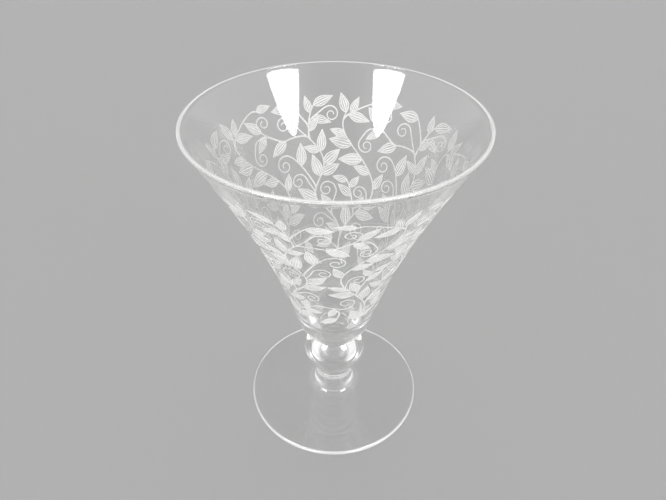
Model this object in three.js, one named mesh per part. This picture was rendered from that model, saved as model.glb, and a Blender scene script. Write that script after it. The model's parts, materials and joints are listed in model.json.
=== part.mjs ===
// A stemmed port glass of clear crystal: a flared bowl, a ball knop, a short stem and a round foot,
// fused to each other at flat round joints. Millimetres, +Z up, standing on the plane z = 0.
import * as THREE from "three";

// Foot
const FOOT_DIAMETER = 55.5;
const FOOT_EDGE_THICKNESS = 1.7;
const FOOT_THICKNESS_AT_BOSS = 4;
const BOSS_HEIGHT = 8;
const BOSS_SPREAD = 4;
const RESTING_RING_WIDTH = 5;
const UNDERSIDE_HOLLOW = 0.8;

// Stem
const STEM_LENGTH = 5.9;
const STEM_FOOT_DIAMETER = 12;
const STEM_TOP_DIAMETER = 12.4;
const STEM_PINCH = 0.2;

// Knop
const KNOP_HEIGHT = 12.4;
const KNOP_DIAMETER = 19.1;

// Bowl
const BOWL_HEIGHT = 73.7;
const BOWL_JOINT_DIAMETER = 12.4;
const HEEL_DIAMETER = 23;
const HEEL_HEIGHT = 8.4;
const HEEL_BEND_HEIGHT = 4.2;
const WALL_LEAN_AT_HEEL = THREE.MathUtils.degToRad(13.2);
const RIM_DIAMETER = 75;
const RIM_WALL = 1.1;
const FLOOR_WALL = 2.2;
const FLOOR_THICKNESS = 8;
const FLOOR_ROUND = 5;

// How finely round shapes are divided
const STEPS_AROUND = 64;
const WALL_STEPS = 11;
const BEND_STEPS = 4;
const ARC_STEPS = 6;

// Heights at which the pieces meet
const STEM_BASE = BOSS_HEIGHT;
const KNOP_BASE = STEM_BASE + STEM_LENGTH;
const BOWL_BASE = KNOP_BASE + KNOP_HEIGHT;

const at = (radius, height) => new THREE.Vector2(radius, height);

// A bend from one point to another that is drawn towards a corner
function bend(from, corner, to) {
  return new THREE.QuadraticBezierCurve(from, corner, to).getPoints(BEND_STEPS);
}

// Stretches of outline joined end to end, with the point where two of them meet kept once
function outline(...stretches) {
  const points = [];
  for (const point of stretches.flat()) {
    const last = points.at(-1);
    if (!last || last.distanceTo(point) > 1e-6) points.push(point);
  }
  return points;
}

function clearCrystal() {
  return new THREE.MeshStandardMaterial({
    color: 0xf4f7f6,
    roughness: 0.02,
    metalness: 0,
    transparent: true,
    opacity: 0.35,
  });
}

// A piece turned about the glass's upright axis, from an outline that runs up its outside
function turned(name, points) {
  const geometry = new THREE.LatheGeometry(points, STEPS_AROUND);
  geometry.rotateX(Math.PI / 2);
  const mesh = new THREE.Mesh(geometry, clearCrystal());
  mesh.name = name;
  return mesh;
}

function makeFoot() {
  const edgeRound = FOOT_EDGE_THICKNESS / 2;
  const edgeCentre = FOOT_DIAMETER / 2 - edgeRound;
  const ringInside = edgeCentre - RESTING_RING_WIDTH;
  const jointRadius = STEM_FOOT_DIAMETER / 2;
  const bossRadius = jointRadius + BOSS_SPREAD;
  const underside = bend(at(0, UNDERSIDE_HOLLOW), at(ringInside / 2, UNDERSIDE_HOLLOW), at(ringInside, 0));
  const edge = new THREE.EllipseCurve(edgeCentre, edgeRound, edgeRound, edgeRound, -Math.PI / 2, Math.PI / 2);
  const flare = bend(
    at(bossRadius, FOOT_THICKNESS_AT_BOSS),
    at(jointRadius, FOOT_THICKNESS_AT_BOSS),
    at(jointRadius, BOSS_HEIGHT),
  );
  return turned("foot", outline(underside, edge.getPoints(ARC_STEPS), flare, [at(0, BOSS_HEIGHT)]));
}

function makeStem() {
  const lower = STEM_FOOT_DIAMETER / 2;
  const upper = STEM_TOP_DIAMETER / 2;
  // A bend passes half as far from its chord as its corner lies
  const pinched = (lower + upper) / 2 - 2 * STEM_PINCH;
  const side = bend(at(lower, STEM_BASE), at(pinched, STEM_BASE + STEM_LENGTH / 2), at(upper, KNOP_BASE));
  return turned("stem", outline([at(0, STEM_BASE)], side, [at(0, KNOP_BASE)]));
}

// Half of the ball's side: an ellipse from its widest point to the flat joint above or below it
function knopSide(jointRadius, upOrDown) {
  const radius = KNOP_DIAMETER / 2;
  const halfHeight = KNOP_HEIGHT / 2;
  const jointAngle = Math.acos(jointRadius / radius);
  const fullHalfHeight = halfHeight / Math.sin(jointAngle);
  const middle = KNOP_BASE + halfHeight;
  const curve = new THREE.EllipseCurve(0, middle, radius, fullHalfHeight, 0, upOrDown * jointAngle, upOrDown < 0);
  return curve.getPoints(ARC_STEPS);
}

function makeKnop() {
  const below = knopSide(STEM_TOP_DIAMETER / 2, -1).reverse();
  const above = knopSide(BOWL_JOINT_DIAMETER / 2, 1);
  return turned("knop", outline([at(0, KNOP_BASE)], below, above, [at(0, BOWL_BASE)]));
}

function makeBowl() {
  const top = BOWL_BASE + BOWL_HEIGHT;
  const lipRound = RIM_WALL / 2;
  const lipHeight = top - lipRound;
  const heelTop = BOWL_BASE + HEEL_HEIGHT;
  const heelRadius = HEEL_DIAMETER / 2;
  const rimRadius = RIM_DIAMETER / 2;
  const flareHeight = lipHeight - heelTop;
  const lean = Math.tan(WALL_LEAN_AT_HEEL);
  const flareOut = rimRadius - heelRadius - lean * flareHeight;

  // The outside opens from the heel like a trumpet: a straight lean and a growing flare
  const outerRadius = (height) => {
    const rise = height - heelTop;
    return heelRadius + lean * rise + flareOut * (rise / flareHeight) ** 2;
  };
  const floor = BOWL_BASE + FLOOR_THICKNESS;
  const floorRoundTop = floor + FLOOR_ROUND;
  // The wall thins evenly from the floor to the rim
  const innerRadius = (height) => {
    const share = (height - floorRoundTop) / (lipHeight - floorRoundTop);
    return outerRadius(height) - THREE.MathUtils.lerp(FLOOR_WALL, RIM_WALL, share);
  };
  const wall = (radiusAt, from, to) =>
    Array.from({ length: WALL_STEPS + 1 }, (_, i) => {
      const height = THREE.MathUtils.lerp(from, to, i / WALL_STEPS);
      return at(radiusAt(height), height);
    });

  const jointRadius = BOWL_JOINT_DIAMETER / 2;
  // Under the bend the heel draws in towards the joint, and above it the wall's line begins
  const heelCorner = at(heelRadius - lean * (HEEL_HEIGHT - HEEL_BEND_HEIGHT), BOWL_BASE + HEEL_BEND_HEIGHT);
  const heel = bend(at(jointRadius, BOWL_BASE), heelCorner, at(heelRadius, heelTop));
  const lip = new THREE.EllipseCurve(rimRadius - lipRound, lipHeight, lipRound, lipRound, 0, Math.PI);
  const cupRadius = innerRadius(floorRoundTop);
  const cup = bend(at(cupRadius, floorRoundTop), at(cupRadius - lean * FLOOR_ROUND, floor), at(0, floor));
  return turned(
    "bowl",
    outline(
      [at(0, BOWL_BASE)],
      heel,
      wall(outerRadius, heelTop, lipHeight),
      lip.getPoints(ARC_STEPS),
      wall(innerRadius, lipHeight, floorRoundTop),
      cup,
    ),
  );
}

const glass = new THREE.Group();
glass.name = "port_glass";
glass.add(makeFoot(), makeStem(), makeKnop(), makeBowl());

export default glass;
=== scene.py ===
import itertools
import json
import math
import random
import typing

import bpy
import numpy as np
from mathutils import Matrix, Vector

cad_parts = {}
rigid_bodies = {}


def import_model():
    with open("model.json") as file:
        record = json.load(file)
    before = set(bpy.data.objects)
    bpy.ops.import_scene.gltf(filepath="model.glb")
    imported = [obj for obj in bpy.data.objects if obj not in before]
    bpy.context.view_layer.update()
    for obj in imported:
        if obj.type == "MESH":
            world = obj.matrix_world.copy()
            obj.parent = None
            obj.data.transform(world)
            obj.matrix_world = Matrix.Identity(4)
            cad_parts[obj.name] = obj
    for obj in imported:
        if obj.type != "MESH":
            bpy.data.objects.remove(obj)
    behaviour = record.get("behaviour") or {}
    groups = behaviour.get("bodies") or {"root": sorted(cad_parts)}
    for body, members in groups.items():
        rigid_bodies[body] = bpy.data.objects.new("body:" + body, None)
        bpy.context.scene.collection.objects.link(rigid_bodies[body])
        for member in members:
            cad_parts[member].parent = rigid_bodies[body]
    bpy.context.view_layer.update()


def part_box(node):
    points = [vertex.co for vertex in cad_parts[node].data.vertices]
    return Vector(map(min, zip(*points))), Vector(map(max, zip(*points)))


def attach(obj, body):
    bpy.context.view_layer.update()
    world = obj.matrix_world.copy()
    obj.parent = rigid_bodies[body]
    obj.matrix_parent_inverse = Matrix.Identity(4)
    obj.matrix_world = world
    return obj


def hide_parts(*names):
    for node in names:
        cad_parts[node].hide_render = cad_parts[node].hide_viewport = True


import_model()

MM = 0.001

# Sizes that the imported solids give
FOOT_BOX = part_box("foot")
STEM_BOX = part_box("stem")
KNOP_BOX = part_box("knop")
BOWL_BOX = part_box("bowl")
FOOT_RADIUS = FOOT_BOX[1].x
STEM_BASE = STEM_BOX[0].z
KNOP_BASE = KNOP_BOX[0].z
KNOP_RADIUS = KNOP_BOX[1].x
BOWL_BASE = BOWL_BOX[0].z
RIM_RADIUS = BOWL_BOX[1].x
RIM_TOP = BOWL_BOX[1].z

# Foot
FOOT_EDGE = 1.7 * MM
FOOT_TOP_AT_BOSS = 4 * MM
BOSS_SPREAD = 4 * MM
RESTING_RING = 5 * MM
UNDERSIDE_HOLLOW = 0.8 * MM

# Stem and knop
STEM_FOOT_RADIUS = 6 * MM
STEM_TOP_RADIUS = STEM_BOX[1].x
STEM_PINCH = 0.2 * MM
WAIST_RADIUS = 6.2 * MM

# Bowl
HEEL_RADIUS = 11.5 * MM
HEEL_HEIGHT = 8.4 * MM
HEEL_BEND_HEIGHT = 4.2 * MM
WALL_LEAN = math.tan(math.radians(13.2))
RIM_WALL = 1.1 * MM
FLOOR_WALL = 2.2 * MM
FLOOR_THICKNESS = 8 * MM
FLOOR_ROUND = 5 * MM
LIP = RIM_WALL / 2
LIP_HEIGHT = RIM_TOP - LIP
HEEL_TOP = BOWL_BASE + HEEL_HEIGHT
FLARE_HEIGHT = LIP_HEIGHT - HEEL_TOP
FLARE_OUT = RIM_RADIUS - HEEL_RADIUS - WALL_LEAN * FLARE_HEIGHT
FLOOR = BOWL_BASE + FLOOR_THICKNESS
FLOOR_ROUND_TOP = FLOOR + FLOOR_ROUND

# How finely round shapes are divided, and how near points count as one
STEPS_AROUND = 288
UNDERSIDE_STEPS = 16
ARC_STEPS = 20
BEND_STEPS = 20
SIDE_STEPS = 24
WALL_STEPS = 60
TOUCHING = 1e-8

# Material slots of a turned piece
BODY_SLOT = 0
JOINT_SLOT = 1
EDGE_SLOT = 2


def bend(start, corner, end, steps):
    """Points on a curve from start to end that is drawn towards a corner."""
    t = np.linspace(0, 1, steps + 1)[:, None]
    start, corner, end = map(np.asarray, (start, corner, end))
    return (1 - t) ** 2 * start + 2 * t * (1 - t) * corner + t**2 * end


def arc(centre, radius, first, last):
    """Points on a circle, between two angles in degrees."""
    a = np.radians(np.linspace(first, last, ARC_STEPS + 1))
    return np.stack([centre[0] + radius * np.cos(a), centre[1] + radius * np.sin(a)], 1)


def joined(*stretches):
    """One outline from stretches that meet end to end, with repeated points left out."""
    points = np.concatenate([np.atleast_2d(s) for s in stretches])
    far = np.linalg.norm(np.diff(points, axis=0), axis=1) > TOUCHING
    return points[np.concatenate([[True], far])]


def new_piece(name, vertices, faces, materials):
    mesh = bpy.data.meshes.new(name)
    mesh.from_pydata(vertices, [], faces)
    for material in materials:
        mesh.materials.append(material)
    piece = bpy.data.objects.new(name, mesh)
    bpy.context.scene.collection.objects.link(piece)
    return piece


def turned_rings(outline):
    """The vertices of an outline turned about Z, and for each of its points the ring of their numbers."""
    turn = np.linspace(0, 2 * math.pi, STEPS_AROUND, endpoint=False)
    vertices = []
    rings = []
    for radius, height in outline:
        first = len(vertices)
        if radius < TOUCHING:
            vertices.append((0, 0, height))
            rings.append([first] * STEPS_AROUND)
        else:
            vertices += [(radius * math.cos(a), radius * math.sin(a), height) for a in turn]
            rings.append(range(first, first + STEPS_AROUND))
    return vertices, rings


def turned_faces(outline, rings, joints, is_edge):
    """The faces between each ring and the next, and their material slots."""
    faces = []
    slots = []
    last = len(rings) - 2
    for row, (low, high) in enumerate(zip(rings, rings[1:])):
        middle = (outline[row] + outline[row + 1]) / 2
        slot = BODY_SLOT
        if is_edge is not None and is_edge(*middle):
            slot = EDGE_SLOT
        if (row == 0 and "bottom" in joints) or (row == last and "top" in joints):
            slot = JOINT_SLOT
        for i in range(STEPS_AROUND):
            j = (i + 1) % STEPS_AROUND
            corners = dict.fromkeys((low[i], low[j], high[j], high[i]))
            faces.append(tuple(corners))
            slots.append(slot)
    return faces, slots


def mark_joint_rims(mesh, rings, joints):
    """Makes the edges round the flat joints sharp."""
    rims = []
    if "bottom" in joints:
        rims.append(set(rings[1]))
    if "top" in joints:
        rims.append(set(rings[-2]))
    sharp = np.zeros(len(mesh.edges), bool)
    for edge in mesh.edges:
        sharp[edge.index] = any(rim.issuperset(edge.vertices) for rim in rims)
    mesh.attributes.new("sharp_edge", "BOOLEAN", "EDGE").data.foreach_set("value", sharp)


def turned(name, outline, materials, joints=(), is_edge=None):
    """A closed piece turned about Z from an outline that runs up its outside from axis to axis.

    The flat discs named in joints, at its bottom or top, take the material for joints. What is_edge
    picks by radius and height takes the material for edges.
    """
    vertices, rings = turned_rings(outline)
    faces, slots = turned_faces(outline, rings, joints, is_edge)
    piece = new_piece(name, vertices, faces, materials)
    piece.data.polygons.foreach_set("material_index", slots)
    piece.data.shade_smooth()
    mark_joint_rims(piece.data, rings, joints)
    return piece


def foot_outline():
    edge_round = FOOT_EDGE / 2
    edge_centre = FOOT_RADIUS - edge_round
    ring_inside = edge_centre - RESTING_RING
    hollow_corner = (ring_inside / 2, UNDERSIDE_HOLLOW)
    boss = (STEM_FOOT_RADIUS + BOSS_SPREAD, FOOT_TOP_AT_BOSS)
    boss_corner = (STEM_FOOT_RADIUS, FOOT_TOP_AT_BOSS)
    return joined(
        bend((0, UNDERSIDE_HOLLOW), hollow_corner, (ring_inside, 0), UNDERSIDE_STEPS),
        arc((edge_centre, edge_round), edge_round, -90, 90),
        bend(boss, boss_corner, (STEM_FOOT_RADIUS, STEM_BASE), BEND_STEPS),
        (0, STEM_BASE),
    )


def stem_outline():
    middle = (STEM_BASE + KNOP_BASE) / 2
    # A bend passes half as far from its chord as its corner lies
    pinched = (STEM_FOOT_RADIUS + STEM_TOP_RADIUS) / 2 - 2 * STEM_PINCH
    return joined(
        (0, STEM_BASE),
        bend((STEM_FOOT_RADIUS, STEM_BASE), (pinched, middle), (STEM_TOP_RADIUS, KNOP_BASE), SIDE_STEPS),
        (0, KNOP_BASE),
    )


def knop_side(joint_radius, sign):
    """Half of the ball's side, from its widest point to the joint above or below it."""
    half = (BOWL_BASE - KNOP_BASE) / 2
    end = math.acos(joint_radius / KNOP_RADIUS)
    a = np.linspace(0, end, SIDE_STEPS + 1)
    rise = half * np.sin(a) / math.sin(end)
    return np.stack([KNOP_RADIUS * np.cos(a), KNOP_BASE + half + sign * rise], 1)


def knop_outline():
    return joined(
        (0, KNOP_BASE),
        knop_side(STEM_TOP_RADIUS, -1)[::-1],
        knop_side(WAIST_RADIUS, 1),
        (0, BOWL_BASE),
    )


def outer_radius(height):
    rise = height - HEEL_TOP
    return HEEL_RADIUS + WALL_LEAN * rise + FLARE_OUT * (rise / FLARE_HEIGHT) ** 2


def inner_radius(height):
    share = (height - FLOOR_ROUND_TOP) / (LIP_HEIGHT - FLOOR_ROUND_TOP)
    return outer_radius(height) - (FLOOR_WALL + (RIM_WALL - FLOOR_WALL) * share)


def bowl_outline():
    outside = np.linspace(HEEL_TOP, LIP_HEIGHT, WALL_STEPS + 1)
    inside = np.linspace(LIP_HEIGHT, FLOOR_ROUND_TOP, WALL_STEPS + 1)
    cup = inner_radius(FLOOR_ROUND_TOP)
    cup_corner = (cup - WALL_LEAN * FLOOR_ROUND, FLOOR)
    heel_bend_radius = HEEL_RADIUS - WALL_LEAN * (HEEL_HEIGHT - HEEL_BEND_HEIGHT)
    heel_corner = (heel_bend_radius, BOWL_BASE + HEEL_BEND_HEIGHT)
    return joined(
        (0, BOWL_BASE),
        bend((WAIST_RADIUS, BOWL_BASE), heel_corner, (HEEL_RADIUS, HEEL_TOP), BEND_STEPS),
        np.stack([outer_radius(outside), outside], 1),
        arc((RIM_RADIUS - LIP, LIP_HEIGHT), LIP, 0, 180),
        np.stack([inner_radius(inside), inside], 1),
        bend((cup, FLOOR_ROUND_TOP), cup_corner, (0, FLOOR), SIDE_STEPS),
    )


# Crystal, with faint smudges and waves. Grains are counted to the metre.
CRYSTAL_COLOUR = (0.995, 0.997, 0.995, 1)
CRYSTAL_IOR = 1.53
LIGHT_LET_THROUGH = (0.97, 0.97, 0.97, 1)
SMUDGE_GRAINS = 60
SMUDGE_DETAIL = 4
SMUDGE_ROUGHNESS = 0.03
WAVE_GRAINS = 45
WAVE_DETAIL = 1
WAVE_STRENGTH = 0.1
WAVE_DEPTH = 0.4 * MM

# A painted highlight: glass with a matt white share, on the outermost share of the foot's edge, and from a
# share of the lip's round upwards
PAINTED_HIGHLIGHT_CLEARNESS = 0.5
PAINTED_HIGHLIGHT_EDGE_SHARE = 0.6
PAINTED_HIGHLIGHT_LIP_START = 0.7

# Frost of the etched lines, and the veil of it on the leaves, which is denser low on the bowl, partly as
# denser etching and partly as a painted highlight of the lamps
FROST_BRIGHT = (0.98, 0.98, 0.975, 1)
FROST_DULL = (0.88, 0.88, 0.875, 1)
FROST_GRAINS = 1500
FROST_DETAIL = 3
FROST_ROUGHNESS = 0.6
FROST_GLOSS = 0.1
FROST_LIT_FROM_BEHIND = 0.45
VEIL_GRAINS = 180
VEIL_DETAIL = 2
VEIL_THINNEST = 0.25
VEIL_DENSEST = 0.7
VEIL_THIN_HEIGHT = 72 * MM
VEIL_DENSE_HEIGHT = 36 * MM

# Between these values lies most of a noise
NOISE_LOW = 0.3
NOISE_HIGH = 0.7


def new_material(name):
    material = bpy.data.materials.new(name)
    material.use_nodes = True
    nodes = material.node_tree.nodes
    return material, nodes, material.node_tree.links, nodes["Principled BSDF"]


def noise(nodes, links, scale, detail):
    """A noise in the frame of the part, with its scale in grains to the metre."""
    place = nodes.new("ShaderNodeTexCoord")
    grain = nodes.new("ShaderNodeTexNoise")
    grain.inputs["Scale"].default_value = scale
    grain.inputs["Detail"].default_value = detail
    links.new(place.outputs["Object"], grain.inputs["Vector"])
    return grain.outputs["Fac"]


def ranged(nodes, links, source, low, high):
    """A noise stretched so that its usual spread runs from low to high."""
    span = nodes.new("ShaderNodeMapRange")
    span.inputs["From Min"].default_value = NOISE_LOW
    span.inputs["From Max"].default_value = NOISE_HIGH
    span.inputs["To Min"].default_value = low
    span.inputs["To Max"].default_value = high
    links.new(source, span.inputs["Value"])
    return span.outputs["Result"]


def eased(nodes, links, source, low, high):
    """A smooth climb from 0 to 1 while the source goes from low to high."""
    span = nodes.new("ShaderNodeMapRange")
    span.interpolation_type = "SMOOTHSTEP"
    span.inputs["From Min"].default_value = low
    span.inputs["From Max"].default_value = high
    links.new(source, span.inputs["Value"])
    return span.outputs["Result"]


def coordinates(nodes, links, kind):
    """The X, Y and Z of a place, in coordinates of a kind."""
    place = nodes.new("ShaderNodeTexCoord")
    parts = nodes.new("ShaderNodeSeparateXYZ")
    links.new(place.outputs[kind], parts.inputs[0])
    return parts.outputs


def joined_by(nodes, links, operation, first, second):
    """One number from two, by a Math node."""
    step = nodes.new("ShaderNodeMath")
    step.operation = operation
    links.new(first, step.inputs[0])
    links.new(second, step.inputs[1])
    return step.outputs[0]


def mixed(nodes, links, factor, first, second):
    """A mix of two shaders. The factor is a number or a socket."""
    mix = nodes.new("ShaderNodeMixShader")
    if isinstance(factor, float):
        mix.inputs["Fac"].default_value = factor
    else:
        links.new(factor, mix.inputs["Fac"])
    links.new(first, mix.inputs[1])
    links.new(second, mix.inputs[2])
    return mix.outputs[0]


def crystal(name, clearness):
    """Clear glass that bends light for the eye, and lets lamps light what stands in it or behind it."""
    material, nodes, links, shader = new_material(name)
    shader.inputs["Base Color"].default_value = CRYSTAL_COLOUR
    shader.inputs["Transmission Weight"].default_value = clearness
    shader.inputs["IOR"].default_value = CRYSTAL_IOR
    smudges = noise(nodes, links, SMUDGE_GRAINS, SMUDGE_DETAIL)
    links.new(ranged(nodes, links, smudges, 0, SMUDGE_ROUGHNESS), shader.inputs["Roughness"])
    waves = nodes.new("ShaderNodeBump")
    waves.inputs["Strength"].default_value = WAVE_STRENGTH
    waves.inputs["Distance"].default_value = WAVE_DEPTH
    links.new(noise(nodes, links, WAVE_GRAINS, WAVE_DETAIL), waves.inputs["Height"])
    links.new(waves.outputs["Normal"], shader.inputs["Normal"])
    ray = nodes.new("ShaderNodeLightPath")
    clear = nodes.new("ShaderNodeBsdfTransparent")
    clear.inputs["Color"].default_value = LIGHT_LET_THROUGH
    glass = mixed(nodes, links, ray.outputs["Is Diffuse Ray"], shader.outputs[0], clear.outputs[0])
    glass = mixed(nodes, links, ray.outputs["Is Shadow Ray"], glass, clear.outputs[0])
    links.new(glass, nodes["Material Output"].inputs["Surface"])
    return material


def fused_joint():
    """Nothing: glass that is fused to glass has no surface there."""
    material, nodes, links, shader = new_material("fused_joint")
    nodes.remove(shader)
    clear = nodes.new("ShaderNodeBsdfTransparent")
    links.new(clear.outputs[0], nodes["Material Output"].inputs["Surface"])
    return material


def frost(nodes, links, shader):
    """The matt white of etched glass, lit from both sides, with a grain in its colour."""
    grain = nodes.new("ShaderNodeMix")
    grain.data_type = "RGBA"
    grain.inputs["A"].default_value = FROST_DULL
    grain.inputs["B"].default_value = FROST_BRIGHT
    grains = noise(nodes, links, FROST_GRAINS, FROST_DETAIL)
    links.new(ranged(nodes, links, grains, 0, 1), grain.inputs["Factor"])
    shader.inputs["Roughness"].default_value = FROST_ROUGHNESS
    shader.inputs["Specular IOR Level"].default_value = FROST_GLOSS
    through = nodes.new("ShaderNodeBsdfTranslucent")
    links.new(grain.outputs["Result"], shader.inputs["Base Color"])
    links.new(grain.outputs["Result"], through.inputs["Color"])
    return mixed(nodes, links, FROST_LIT_FROM_BEHIND, shader.outputs[0], through.outputs[0])


def etched_line():
    material, nodes, links, shader = new_material("etched_line")
    links.new(frost(nodes, links, shader), nodes["Material Output"].inputs["Surface"])
    return material


def etched_veil():
    """A frosting that is dense on some leaves and thin on others, and denser low on the bowl, partly as
    denser etching and partly as a painted highlight.
    """
    material, nodes, links, shader = new_material("etched_veil")
    clear = nodes.new("ShaderNodeBsdfTransparent")
    grains = noise(nodes, links, VEIL_GRAINS, VEIL_DETAIL)
    patches = ranged(nodes, links, grains, VEIL_THINNEST, VEIL_DENSEST)
    height = coordinates(nodes, links, "Object")["Z"]
    # Denser low on the bowl: partly denser etching, partly a painted highlight of the lamps there
    low = eased(nodes, links, height, VEIL_THIN_HEIGHT, VEIL_DENSE_HEIGHT)
    cover = joined_by(nodes, links, "MAXIMUM", patches, low)
    veil = mixed(nodes, links, cover, clear.outputs[0], frost(nodes, links, shader))
    links.new(veil, nodes["Material Output"].inputs["Surface"])
    return material


def is_foot_edge(radius, height):
    return radius > FOOT_RADIUS - PAINTED_HIGHLIGHT_EDGE_SHARE * FOOT_EDGE / 2


def is_lip(radius, height):
    return height > LIP_HEIGHT + PAINTED_HIGHLIGHT_LIP_START * LIP


def make_glass():
    # The matt white share of the second crystal is a painted highlight on the lip and the foot's edge
    materials = [crystal("crystal", 1), fused_joint(), crystal("painted_edge_highlight", PAINTED_HIGHLIGHT_CLEARNESS)]
    made = {
        "foot": turned("foot_glass", foot_outline(), materials, ("top",), is_foot_edge),
        "stem": turned("stem_glass", stem_outline(), materials, ("bottom", "top")),
        "knop": turned("knop_glass", knop_outline(), materials, ("bottom", "top")),
        "bowl": turned("bowl_glass", bowl_outline(), materials, ("bottom",), is_lip),
    }
    for node, piece in made.items():
        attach(piece, "root")
        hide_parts(node)


# Etched scroll. One repeat of it is grown on the outer wall from a fixed seed, and copied round the bowl.
# Two values in brackets are the least and the most of a draw. Turns are in degrees, and bends are
# curvatures to the metre. A start and an end are counts of rows that stay bare at the ends of a stem.
SCROLL_REPEATS = 5
SCROLL_PITCH = 2 * math.pi / SCROLL_REPEATS
SCROLL_SEED = 9
SCROLL_BOTTOM = 43 * MM
SCROLL_TOP = 92 * MM
WALK_STEP = 0.4 * MM

# Two climbing stems, which sway from side to side. The second leaves the first at the fork, a share of
# the climb, and crosses to the middle between two repeats.
STEMS_TOP = 87 * MM
STEM_POINTS = 160
FIRST_SWING = 0.24
FIRST_SWAYS = 1.25
FIRST_PHASE = 0.5
FORK = 0.2
CROSSING = 0.4
SECOND_TOP = 0.97
SECOND_SWING = 0.17
SECOND_SWAYS = 1.5

# Branches
LONG_BRANCHES = (12 * MM, 20 * MM)
LONG_CLEARANCE = 5.2 * MM
SHORT_BRANCHES = (6 * MM, 11 * MM)
SHORT_CLEARANCE = 4.4 * MM
BASE_CLEARANCES = 1.5
BRANCH_START = 8
BRANCH_TURNS = (4, 10)
FIRST_BENDS = (-60, 0)
LAST_BENDS = (30, 150)
BRANCH_TRIES = 500

# How a line sweeps away from the stem that it leaves
SWEEP = 500
SWEEP_LENGTH = 3 * MM

# Coils, each of which tightens to a heart. Its length is counted in the radius that it starts with.
COIL_LENGTH = 4.7
COIL_HEART = 0.75 * MM
COIL_CLEARANCE = 0.9 * MM
COIL_BASE_ROOM = 3 * MM
COIL_START = 4
COIL_TURNS = (2, 8)
COIL_LEADS_IN_MM = (3, 6)
COIL_LEAD_BENDS = (-60, 60)
COIL_RADII_IN_MM = (2.5, 3.5)
EARLY_COIL_TRIES = 25
LATE_COIL_TRIES = 200

# Coils at the ends of stems
END_COIL_CHANCE = 0.4
END_COIL_RADII = (3.2 * MM, 2.6 * MM)
END_COIL_LEAD = 1 * MM
END_COIL_BEND = -200

# Leaves. A leaf's breadth and curl are shares of its length.
LEAF_LENGTHS = (0.9, 1.1)
LEAF_BREADTHS = (0.4, 0.48)
LEAF_BELLY = 0.75
LEAF_POINT = 1.1
LEAF_CLEARANCE = 0.5 * MM
LEAF_BASE_ROOM = 2.7 * MM
LEAF_TEST_SHARES = np.linspace(0.15, 0.999, 8)
LEAF_TEST_SIDES = (-1, -0.4, 0.4, 1)

# Leaves in pairs along the stems, each in the first of these sizes that has room
STEM_LEAF = 6.8 * MM
STEM_LEAF_SHARES = (1, 0.9, 0.78)
STEM_LEAF_GAP = 5 * MM
STEM_LEAF_START = 6
STEM_LEAF_END = 4
STEM_LEAF_SCATTER = 4
STEM_LEAF_TURNS = (36, 56)
STEM_LEAF_CURLS = (0.02, 0.12)

# Leaves at the tips of the stems
TIP_LEAF = 6.2 * MM
TIP_LEAF_TURNS = (0, 48, -48, 24, -24)
TIP_LEAF_STRAY = (-6, 6)
TIP_LEAF_CURLS = (-0.05, 0.05)

# Leaves that fill the room left
FILL_LEAVES = (4.8 * MM, 6.4 * MM)
FILL_START = 3
FILL_TURNS = (25, 75)
FILL_CURLS = (-0.1, 0.1)
FILL_TRIES = 600


def outer_slope(height):
    return WALL_LEAN + 2 * FLARE_OUT * (height - HEEL_TOP) / FLARE_HEIGHT**2


def outer_slant(height):
    """Length along the wall for each unit of height."""
    return np.hypot(1, outer_slope(height))


class Line:
    """A line drawn on the wall, as rows of angle, height and heading. A heading of 0 climbs straight up.

    It leaves its parent at a place, and used is the last row that carries a leaf or another line.
    """

    def __init__(self, rows):
        self.rows = np.asarray(rows)
        self.parent = None
        self.place = 0
        self.used = 0


class Leaf(typing.NamedTuple):
    """A leaf that grows from a row of a line."""

    row: tuple
    length: float
    breadth: float
    curl: float

    def points(self, share, side):
        """Angles and heights at shares of the length. Side goes from one edge at -1 to the other at 1."""
        angle, height, heading = self.row
        along = self.length * share
        half_width = self.breadth / 2 * np.sin(math.pi * share**LEAF_BELLY) ** LEAF_POINT
        across = self.curl * self.length * share**2 + side * half_width
        high = height + (along * math.cos(heading) - across * math.sin(heading)) / outer_slant(height)
        turn = (along * math.sin(heading) + across * math.cos(heading)) / outer_radius(high)
        return np.stack([angle + turn, high], -1)


def walk(row, turn, length, curvature):
    """A line that leaves a row at a turn from its heading. Its curvature depends on the length gone."""
    angle, height, heading = row[0], row[1], row[2] + turn
    rows = [(angle, height, heading)]
    for i in range(round(length / WALK_STEP)):
        radius = outer_radius(height)
        slant = outer_slant(height)
        around = math.sin(heading) * outer_slope(height) / slant / radius
        heading += WALK_STEP * (curvature((i + 0.5) * WALK_STEP) - around)
        angle += WALK_STEP * math.sin(heading) / radius
        height += WALK_STEP * math.cos(heading) / slant
        rows.append((angle, height, heading))
    return Line(rows)


def headed(spots):
    """Rows of angle, height and heading through a line of spots."""
    ahead = outer_slant(spots[:, 1]) * np.gradient(spots[:, 1])
    aside = outer_radius(spots[:, 1]) * np.gradient(spots[:, 0])
    return np.column_stack([spots, np.arctan2(aside, ahead)])


def gaps(spots, rivals):
    """Distances on the wall from each spot to each rival, which stands in every repeat of the pattern."""
    turn = spots[:, None, 0] - rivals[None, :, 0]
    turn = (turn + SCROLL_PITCH / 2) % SCROLL_PITCH - SCROLL_PITCH / 2
    climb = spots[:, None, 1] - rivals[None, :, 1]
    height = spots[:, None, 1]
    return np.hypot(turn * outer_radius(height), climb * outer_slant(height))


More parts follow.
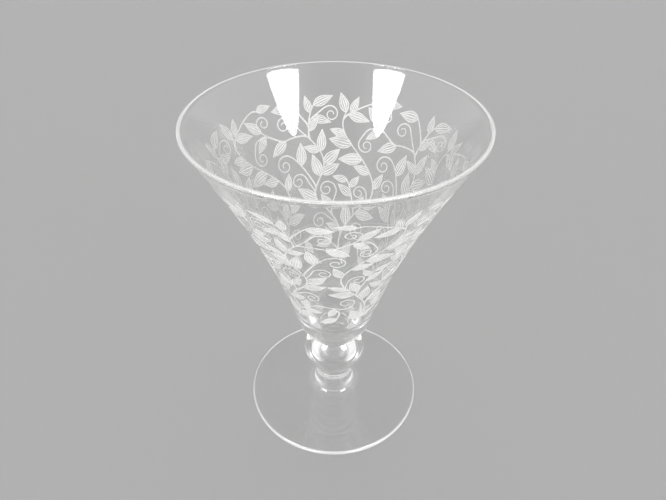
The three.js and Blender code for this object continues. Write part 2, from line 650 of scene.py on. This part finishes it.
class Scroll:
    """The lines and leaves of one repeat of the pattern, and the spots on the wall that they take."""

    def __init__(self, seed):
        self.luck = random.Random(seed)
        self.stems = []
        self.coils = []
        self.leaves = []
        self.taken = np.zeros((0, 2))

    def is_free(self, spots, base, clearance, base_room):
        """Whether spots keep clear of all that is drawn further than base_room from their base."""
        heights = spots[:, 1]
        if heights.max() > SCROLL_TOP or heights.min() < SCROLL_BOTTOM:
            return False
        near = np.abs(self.taken[:, 1] - heights.mean()) < np.ptp(heights) + clearance
        rivals = self.taken[near]
        rivals = rivals[gaps(base[None], rivals)[0] > base_room]
        return len(rivals) == 0 or gaps(spots, rivals).min() > clearance

    def add_line(self, line, lines):
        lines.append(line)
        self.taken = np.concatenate([self.taken, line.rows[:, :2]])

    def try_stem(self, parent, place, line, clearance):
        base_room = BASE_CLEARANCES * clearance
        if self.is_free(line.rows[1:, :2], line.rows[0, :2], clearance, base_room):
            line.parent = parent
            line.place = place
            self.add_line(line, self.stems)

    def try_coil(self, parent, place, line):
        if not self.is_free(line.rows[1:, :2], line.rows[0, :2], COIL_CLEARANCE, COIL_BASE_ROOM):
            return False
        parent.used = max(parent.used, place)
        self.add_line(line, self.coils)
        return True

    def try_leaf(self, parent, place, turn, size, curl):
        angle, height, heading = parent.rows[place]
        length = size * self.luck.uniform(*LEAF_LENGTHS)
        breadth = length * self.luck.uniform(*LEAF_BREADTHS)
        leaf = Leaf((angle, height, heading + turn), length, breadth, curl)
        spots = np.concatenate([leaf.points(LEAF_TEST_SHARES, side) for side in LEAF_TEST_SIDES])
        if not self.is_free(spots, parent.rows[place, :2], LEAF_CLEARANCE, LEAF_BASE_ROOM):
            return False
        parent.used = max(parent.used, place)
        self.leaves.append(leaf)
        self.taken = np.concatenate([self.taken, spots])
        return True

    def any_stem(self, start):
        """A stem, a place on it from its start row on, and a side, by chance."""
        parent = self.luck.choice(self.stems)
        place = self.luck.randrange(start, len(parent.rows))
        side = self.luck.choice((-1, 1))
        return parent, place, side

    def trim(self):
        """Cuts each stem behind the last thing on it, and drops those that carry nothing."""
        for stem in reversed(self.stems):
            stem.rows = stem.rows[: stem.used + 1]
            if stem.used and stem.parent:
                stem.parent.used = max(stem.parent.used, stem.place)
        self.stems = [stem for stem in self.stems if stem.used]


def sweep(gone):
    return SWEEP * max(0, 1 - gone / SWEEP_LENGTH)


def coil(row, turn, side, lead, lead_bend, radius):
    """A tendril: a bent lead, then a coil that tightens from a radius to its heart."""
    length = COIL_LENGTH * radius

    def curvature(gone):
        if gone < lead:
            return side * (lead_bend + sweep(gone))
        return side / (radius + (COIL_HEART - radius) * (gone - lead) / length)

    return walk(row, turn, lead + length, curvature)


def branch(row, turn, side, length, first, last):
    """A line that sweeps away from a stem, then bends from a first curvature to a last one."""

    def curvature(gone):
        return side * (sweep(gone) + first + (last - first) * gone / length)

    return walk(row, turn, length, curvature)


def smooth_step(share):
    share = np.clip(share, 0, 1)
    return share * share * (3 - 2 * share)


def climbing_stem(first, last, swing):
    """A stem that climbs the wall between two shares of its height, while its angle swings."""
    share = np.linspace(first, last, round(STEM_POINTS * (last - first)))
    height = SCROLL_BOTTOM + share * (STEMS_TOP - SCROLL_BOTTOM)
    return Line(headed(np.column_stack([swing(share), height])))


def first_swing(share):
    return FIRST_SWING * np.sin(2 * math.pi * FIRST_SWAYS * share + FIRST_PHASE)


def second_swing(share):
    between = SCROLL_PITCH / 2 + SECOND_SWING * np.sin(2 * math.pi * SECOND_SWAYS * (share - FORK))
    start = first_swing(FORK)
    return start + (between - start) * smooth_step((share - FORK) / CROSSING)


def grow_branches(scroll, lengths, clearance):
    """Branches that leave the stems at a slant and arch outwards."""
    luck = scroll.luck
    for _ in range(BRANCH_TRIES):
        parent, place, side = scroll.any_stem(BRANCH_START)
        turn = side * math.radians(luck.uniform(*BRANCH_TURNS))
        length = luck.uniform(*lengths)
        first = luck.uniform(*FIRST_BENDS)
        last = luck.uniform(*LAST_BENDS)
        line = branch(parent.rows[place], turn, side, length, first, last)
        scroll.try_stem(parent, place, line, clearance)


def end_stems(scroll):
    """A coil at the end of some stems, where there is room."""
    for stem in scroll.stems:
        if scroll.luck.random() > END_COIL_CHANCE:
            continue
        tip = len(stem.rows) - 1
        for radius, side in itertools.product(END_COIL_RADII, (1, -1)):
            line = coil(stem.rows[tip], 0, side, END_COIL_LEAD, END_COIL_BEND, radius)
            if scroll.try_coil(stem, tip, line):
                break


def grow_coils(scroll, tries):
    """Coils that leave the stems, where there is room."""
    luck = scroll.luck
    for _ in range(tries):
        parent, place, side = scroll.any_stem(COIL_START)
        turn = side * math.radians(luck.uniform(*COIL_TURNS))
        lead = luck.uniform(*COIL_LEADS_IN_MM) * MM
        lead_bend = luck.uniform(*COIL_LEAD_BENDS)
        radius = luck.uniform(*COIL_RADII_IN_MM) * MM
        line = coil(parent.rows[place], turn, side, lead, lead_bend, radius)
        scroll.try_coil(parent, place, line)


def line_with_leaves(scroll, stem):
    """Leaves in pairs along a stem, where there is room."""
    luck = scroll.luck
    last = len(stem.rows) - STEM_LEAF_END
    for place in range(STEM_LEAF_START, last, round(STEM_LEAF_GAP / WALK_STEP)):
        for side in (-1, 1):
            spot = place + luck.randrange(STEM_LEAF_SCATTER)
            for share in STEM_LEAF_SHARES:
                turn = side * math.radians(luck.uniform(*STEM_LEAF_TURNS))
                curl = -side * luck.uniform(*STEM_LEAF_CURLS)
                if scroll.try_leaf(stem, spot, turn, share * STEM_LEAF, curl):
                    break


def tip_with_leaves(scroll, stem):
    """Leaves at the tip of a stem, the middle one first, where there is room."""
    luck = scroll.luck
    tip = len(stem.rows) - 1
    for middle_turn in TIP_LEAF_TURNS:
        turn = math.radians(middle_turn + luck.uniform(*TIP_LEAF_STRAY))
        curl = luck.uniform(*TIP_LEAF_CURLS)
        scroll.try_leaf(stem, tip, turn, TIP_LEAF, curl)


def fill_with_leaves(scroll):
    """Leaves on all stems, wherever there is room left."""
    luck = scroll.luck
    for _ in range(FILL_TRIES):
        parent, place, side = scroll.any_stem(FILL_START)
        turn = side * math.radians(luck.uniform(*FILL_TURNS))
        size = luck.uniform(*FILL_LEAVES)
        curl = luck.uniform(*FILL_CURLS)
        scroll.try_leaf(parent, place, turn, size, curl)


def grow_scroll():
    scroll = Scroll(SCROLL_SEED)
    scroll.add_line(climbing_stem(0, 1, first_swing), scroll.stems)
    scroll.add_line(climbing_stem(FORK, SECOND_TOP, second_swing), scroll.stems)
    grow_branches(scroll, LONG_BRANCHES, LONG_CLEARANCE)
    grow_branches(scroll, SHORT_BRANCHES, SHORT_CLEARANCE)
    end_stems(scroll)
    grow_coils(scroll, EARLY_COIL_TRIES)
    for stem in scroll.stems:
        line_with_leaves(scroll, stem)
        tip_with_leaves(scroll, stem)
    grow_coils(scroll, LATE_COIL_TRIES)
    fill_with_leaves(scroll)
    scroll.trim()
    return scroll


# How the etching stands in the wall: its lines and blades reach from just inside the glass to just outside
LINE_SINK = 0.03 * MM
LINE_LIFT = 0.05 * MM
BLADE_SINK = 0.02 * MM
BLADE_LIFT = 0.02 * MM

# Widths of lines at their start and end
STEM_WIDTHS = (0.55 * MM, 0.36 * MM)
COIL_WIDTHS = (0.42 * MM, 0.3 * MM)
EDGE_WIDTHS = (0.3 * MM, 0.24 * MM)
RIB_WIDTHS = (0.26 * MM, 0.16 * MM)
VEIN_WIDTHS = (0.2 * MM, 0.14 * MM)

# Where a leaf's blade and lines lie on it, in shares of its length and sides
BLADE_SHARES = np.linspace(0.03, 0.985, 11)
BLADE_SIDES = np.linspace(-0.95, 0.95, 5)
EDGE_SHARES = np.linspace(0.02, 1, 15)
RIB_SHARES = np.linspace(0, 0.95, 8)
VEIN_SHARES = np.linspace(0.14, 0.86, 9)
VEIN_SIDES = (-0.52, 0.52)


def wall_points(spots, lift):
    """Points at angles and heights of the outer wall, lifted off it along its outward normal."""
    angle, height = spots[..., 0], spots[..., 1]
    slope = outer_slope(height)
    slant = outer_slant(height)
    radius = outer_radius(height) + lift / slant
    return np.stack([radius * np.cos(angle), radius * np.sin(angle), height - lift * slope / slant], -1)


def ribbon(rows, widths):
    """A closed raised line: two edges that are sunk in the glass, and a crest between them."""
    spots, heading = rows[:, :2], rows[:, 2]
    half = np.linspace(widths[0], widths[1], len(rows)) / 2
    turn = half * np.cos(heading) / outer_radius(spots[:, 1])
    climb = -half * np.sin(heading) / outer_slant(spots[:, 1])
    aside = np.stack([turn, climb], 1)
    left = wall_points(spots - aside, -LINE_SINK)
    crest = wall_points(spots, LINE_LIFT)
    right = wall_points(spots + aside, -LINE_SINK)
    count = len(rows)
    faces = []
    for a, b in ((0, count), (count, 2 * count), (2 * count, 0)):
        faces += [(a + i, b + i, b + i + 1, a + i + 1) for i in range(count - 1)]
    faces += [(0, 2 * count, count), (count - 1, 2 * count - 1, 3 * count - 1)]
    return np.concatenate([left, crest, right]), faces


def slab_faces(long, wide):
    """The faces of a closed slab between two grids of points, the upper grid numbered first."""
    top = np.arange(long * wide).reshape(long, wide)
    low = top + long * wide
    faces = []
    for i in range(long - 1):
        for j in range(wide - 1):
            faces.append((top[i, j], top[i, j + 1], top[i + 1, j + 1], top[i + 1, j]))
            faces.append((low[i, j], low[i + 1, j], low[i + 1, j + 1], low[i, j + 1]))
    edge = [(0, j) for j in range(wide)]
    edge += [(i, wide - 1) for i in range(1, long)]
    edge += [(long - 1, j) for j in range(wide - 2, -1, -1)]
    edge += [(i, 0) for i in range(long - 2, 0, -1)]
    for a, b in zip(edge, edge[1:] + edge[:1]):
        faces.append((top[b], top[a], low[a], low[b]))
    return faces


def leaf_blade(leaf):
    """A closed thin slab in the shape of a leaf."""
    spots = np.stack([leaf.points(BLADE_SHARES, side) for side in BLADE_SIDES], 1)
    points = [wall_points(spots, BLADE_LIFT), wall_points(spots, -BLADE_SINK)]
    return np.concatenate(points).reshape(-1, 3), slab_faces(len(BLADE_SHARES), len(BLADE_SIDES))


def leaf_stroke(leaf, shares, side, widths):
    return ribbon(headed(leaf.points(shares, side)), widths)


def leaf_edges(leaf):
    return [leaf_stroke(leaf, EDGE_SHARES, side, EDGE_WIDTHS) for side in (-1, 1)]


def leaf_veins(leaf):
    """The midrib of a leaf, and strokes on both sides of it that follow its edges."""
    rib = leaf_stroke(leaf, RIB_SHARES, 0, RIB_WIDTHS)
    return [rib] + [leaf_stroke(leaf, VEIN_SHARES, side, VEIN_WIDTHS) for side in VEIN_SIDES]


def etched_piece(name, shells, material):
    """One mesh of closed shells that are repeated round the bowl."""
    vertices = []
    faces = []
    first = 0
    for repeat in range(SCROLL_REPEATS):
        spin = np.array(Matrix.Rotation(repeat * SCROLL_PITCH, 3, "Z")).T
        for points, corners in shells:
            vertices.append(points @ spin)
            faces += [tuple(first + int(c) for c in face) for face in corners]
            first += len(points)
    piece = new_piece(name, np.concatenate(vertices).tolist(), faces, [material])
    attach(piece, "root")


def make_etching():
    scroll = grow_scroll()
    lines = etched_line()
    veil = etched_veil()
    stems = [ribbon(stem.rows, STEM_WIDTHS) for stem in scroll.stems]
    tendrils = [ribbon(line.rows, COIL_WIDTHS) for line in scroll.coils]
    blades = [leaf_blade(leaf) for leaf in scroll.leaves]
    edges = [shell for leaf in scroll.leaves for shell in leaf_edges(leaf)]
    veins = [shell for leaf in scroll.leaves for shell in leaf_veins(leaf)]
    etched_piece("etched_stems", stems, lines)
    etched_piece("etched_tendrils", tendrils, lines)
    etched_piece("etched_leaf_blades", blades, veil)
    etched_piece("etched_leaf_edges", edges, lines)
    etched_piece("etched_leaf_veins", veins, lines)


# Studio floor
STUDIO_FLOOR_SIZE = 6
STUDIO_FLOOR_GAP = 0.05 * MM
STUDIO_FLOOR_COLOUR = (0.42, 0.42, 0.42, 1)
STUDIO_FLOOR_ROUGHNESS = 0.9


def make_floor():
    bpy.ops.mesh.primitive_plane_add(size=STUDIO_FLOOR_SIZE, location=(0, 0, -STUDIO_FLOOR_GAP))
    floor = bpy.context.object
    floor.name = "floor"
    material, nodes, links, shader = new_material("floor")
    shader.inputs["Base Color"].default_value = STUDIO_FLOOR_COLOUR
    shader.inputs["Roughness"].default_value = STUDIO_FLOOR_ROUGHNESS
    floor.data.materials.append(material)


# Lamps. Angles are in degrees, and azimuth is from the camera's side, positive to the right.
STRIP_AZIMUTH = 50
STRIP_ELEVATION = 42
STRIP_DISTANCE = 0.9
STRIP_WIDTH = 0.36
STRIP_HEIGHT = 0.54
STRIP_POWER = 6
FRONT_AZIMUTH = 0
BACK_AZIMUTH = 180
KEY_ELEVATION = 14
KEY_SPREAD = 40
FRONT_STRENGTH = 2.4
BACK_STRENGTH = 1.6
TOP_ELEVATION = 70
TOP_SPREAD = 60
TOP_STRENGTH = 0.5

# What glass and eye see around the floor: pale grey in front and behind, white to both sides. The white
# comes in while the square of the view's sideways part, and its climb, go from start to full.
FILL_COLOUR = (0.52, 0.52, 0.52, 1)
BACKDROP_COLOUR = (0.42, 0.42, 0.42, 1)
SIDE_COLOUR = (1, 1, 1, 1)
SIDE_START = 0
SIDE_FULL = 0.3
CLIMB_START = -0.05
CLIMB_FULL = 0.15

# Light crosses many surfaces in glass before it leaves it, and stray bright paths are capped
LIGHT_BOUNCES = 40
STRAY_LIGHT_CAP = 3


def direction(azimuth, elevation):
    a, e = math.radians(azimuth), math.radians(elevation)
    return Vector((math.sin(a) * math.cos(e), -math.cos(a) * math.cos(e), math.sin(e)))


def new_lamp(name, kind, way, place):
    """A lamp of a kind at a place, that shines against a way. The camera sees it only in the glass."""
    lamp = bpy.data.lights.new(name, kind)
    holder = bpy.data.objects.new(name, lamp)
    holder.location = place
    holder.rotation_mode = "QUATERNION"
    holder.rotation_quaternion = (-way).to_track_quat("-Z", "Y")
    holder.visible_camera = False
    bpy.context.scene.collection.objects.link(holder)
    return holder, lamp


def strip_lamp(name, azimuth):
    """A tall oval lamp that only the glass shows."""
    way = direction(azimuth, STRIP_ELEVATION)
    middle = Vector((0, 0, RIM_TOP / 2))
    holder, lamp = new_lamp(name, "AREA", way, middle + STRIP_DISTANCE * way)
    holder.visible_diffuse = False
    lamp.shape = "ELLIPSE"
    lamp.size = STRIP_WIDTH
    lamp.size_y = STRIP_HEIGHT
    lamp.energy = STRIP_POWER


def even_light(name, azimuth, elevation, strength, spread):
    """Soft light that falls evenly on etching and floor, and that the glass doesn't show."""
    way = direction(azimuth, elevation)
    holder, lamp = new_lamp(name, "SUN", way, way)
    holder.visible_glossy = False
    holder.visible_transmission = False
    lamp.energy = strength
    lamp.angle = math.radians(spread)


def make_lights():
    strip_lamp("strip_left", -STRIP_AZIMUTH)
    strip_lamp("strip_right", STRIP_AZIMUTH)
    even_light("front_key", FRONT_AZIMUTH, KEY_ELEVATION, FRONT_STRENGTH, KEY_SPREAD)
    even_light("back_key", BACK_AZIMUTH, KEY_ELEVATION, BACK_STRENGTH, KEY_SPREAD)
    even_light("overhead", BACK_AZIMUTH, TOP_ELEVATION, TOP_STRENGTH, TOP_SPREAD)


def background(nodes, colour):
    shader = nodes.new("ShaderNodeBackground")
    shader.inputs["Color"].default_value = colour
    return shader.outputs[0]


def side_whiteness(nodes, links):
    """1 to both sides above the floor, and 0 in front and behind."""
    view = coordinates(nodes, links, "Generated")
    aside = joined_by(nodes, links, "MULTIPLY", view["X"], view["X"])
    to_a_side = eased(nodes, links, aside, SIDE_START, SIDE_FULL)
    above = eased(nodes, links, view["Z"], CLIMB_START, CLIMB_FULL)
    return joined_by(nodes, links, "MULTIPLY", to_a_side, above)


def make_world():
    """A pale studio: a soft fill for matt surfaces, and surroundings for the eye and the glass."""
    world = bpy.data.worlds.new("studio")
    bpy.context.scene.world = world
    world.use_nodes = True
    nodes, links = world.node_tree.nodes, world.node_tree.links
    fill = nodes["Background"]
    fill.inputs["Color"].default_value = FILL_COLOUR
    backdrop = background(nodes, BACKDROP_COLOUR)
    sides = background(nodes, SIDE_COLOUR)
    around = mixed(nodes, links, side_whiteness(nodes, links), backdrop, sides)
    ray = nodes.new("ShaderNodeLightPath").outputs
    seen = joined_by(nodes, links, "MAXIMUM", ray["Is Camera Ray"], ray["Is Glossy Ray"])
    seen = joined_by(nodes, links, "MAXIMUM", seen, ray["Is Transmission Ray"])
    studio = mixed(nodes, links, seen, fill.outputs[0], around)
    links.new(studio, nodes["World Output"].inputs["Surface"])


def set_light_paths():
    cycles = bpy.context.scene.cycles
    cycles.max_bounces = LIGHT_BOUNCES
    cycles.transmission_bounces = LIGHT_BOUNCES
    cycles.glossy_bounces = LIGHT_BOUNCES
    cycles.transparent_max_bounces = LIGHT_BOUNCES
    cycles.sample_clamp_indirect = STRAY_LIGHT_CAP


# The camera that took the photograph, found by fitting the rim and the foot. The width of the image and
# the focal length are in pixels, and the sensor's width is in millimetres.
IMAGE_WIDTH = 666
FOCAL_PIXELS = 566
SENSOR_WIDTH = 36
CAMERA_PLACE = Vector((0, -126.2 * MM, 158.5 * MM))
CAMERA_DOWN = math.radians(38.19)
CAMERA_PAN = math.radians(-0.22)
CAMERA_ROLL = math.radians(0.27)
NEAREST_SEEN = 5 * MM


def make_camera():
    lens = bpy.data.cameras.new("camera")
    lens.sensor_fit = "HORIZONTAL"
    lens.sensor_width = SENSOR_WIDTH
    lens.lens = FOCAL_PIXELS / IMAGE_WIDTH * SENSOR_WIDTH
    lens.clip_start = NEAREST_SEEN
    ahead = Vector(
        (
            math.sin(CAMERA_PAN) * math.cos(CAMERA_DOWN),
            math.cos(CAMERA_PAN) * math.cos(CAMERA_DOWN),
            -math.sin(CAMERA_DOWN),
        )
    )
    level = Vector((math.cos(CAMERA_PAN), -math.sin(CAMERA_PAN), 0))
    upright = level.cross(ahead)
    right = math.cos(CAMERA_ROLL) * level + math.sin(CAMERA_ROLL) * upright
    up = right.cross(ahead)
    turn = Matrix((right, up, -ahead)).transposed().to_4x4()
    camera = bpy.data.objects.new("camera", lens)
    camera.matrix_world = Matrix.Translation(CAMERA_PLACE) @ turn
    bpy.context.scene.collection.objects.link(camera)
    bpy.context.scene.camera = camera


make_camera()
make_glass()
make_etching()
make_floor()
make_lights()
make_world()
set_light_paths()
bpy.context.scene.view_settings.view_transform = "Standard"
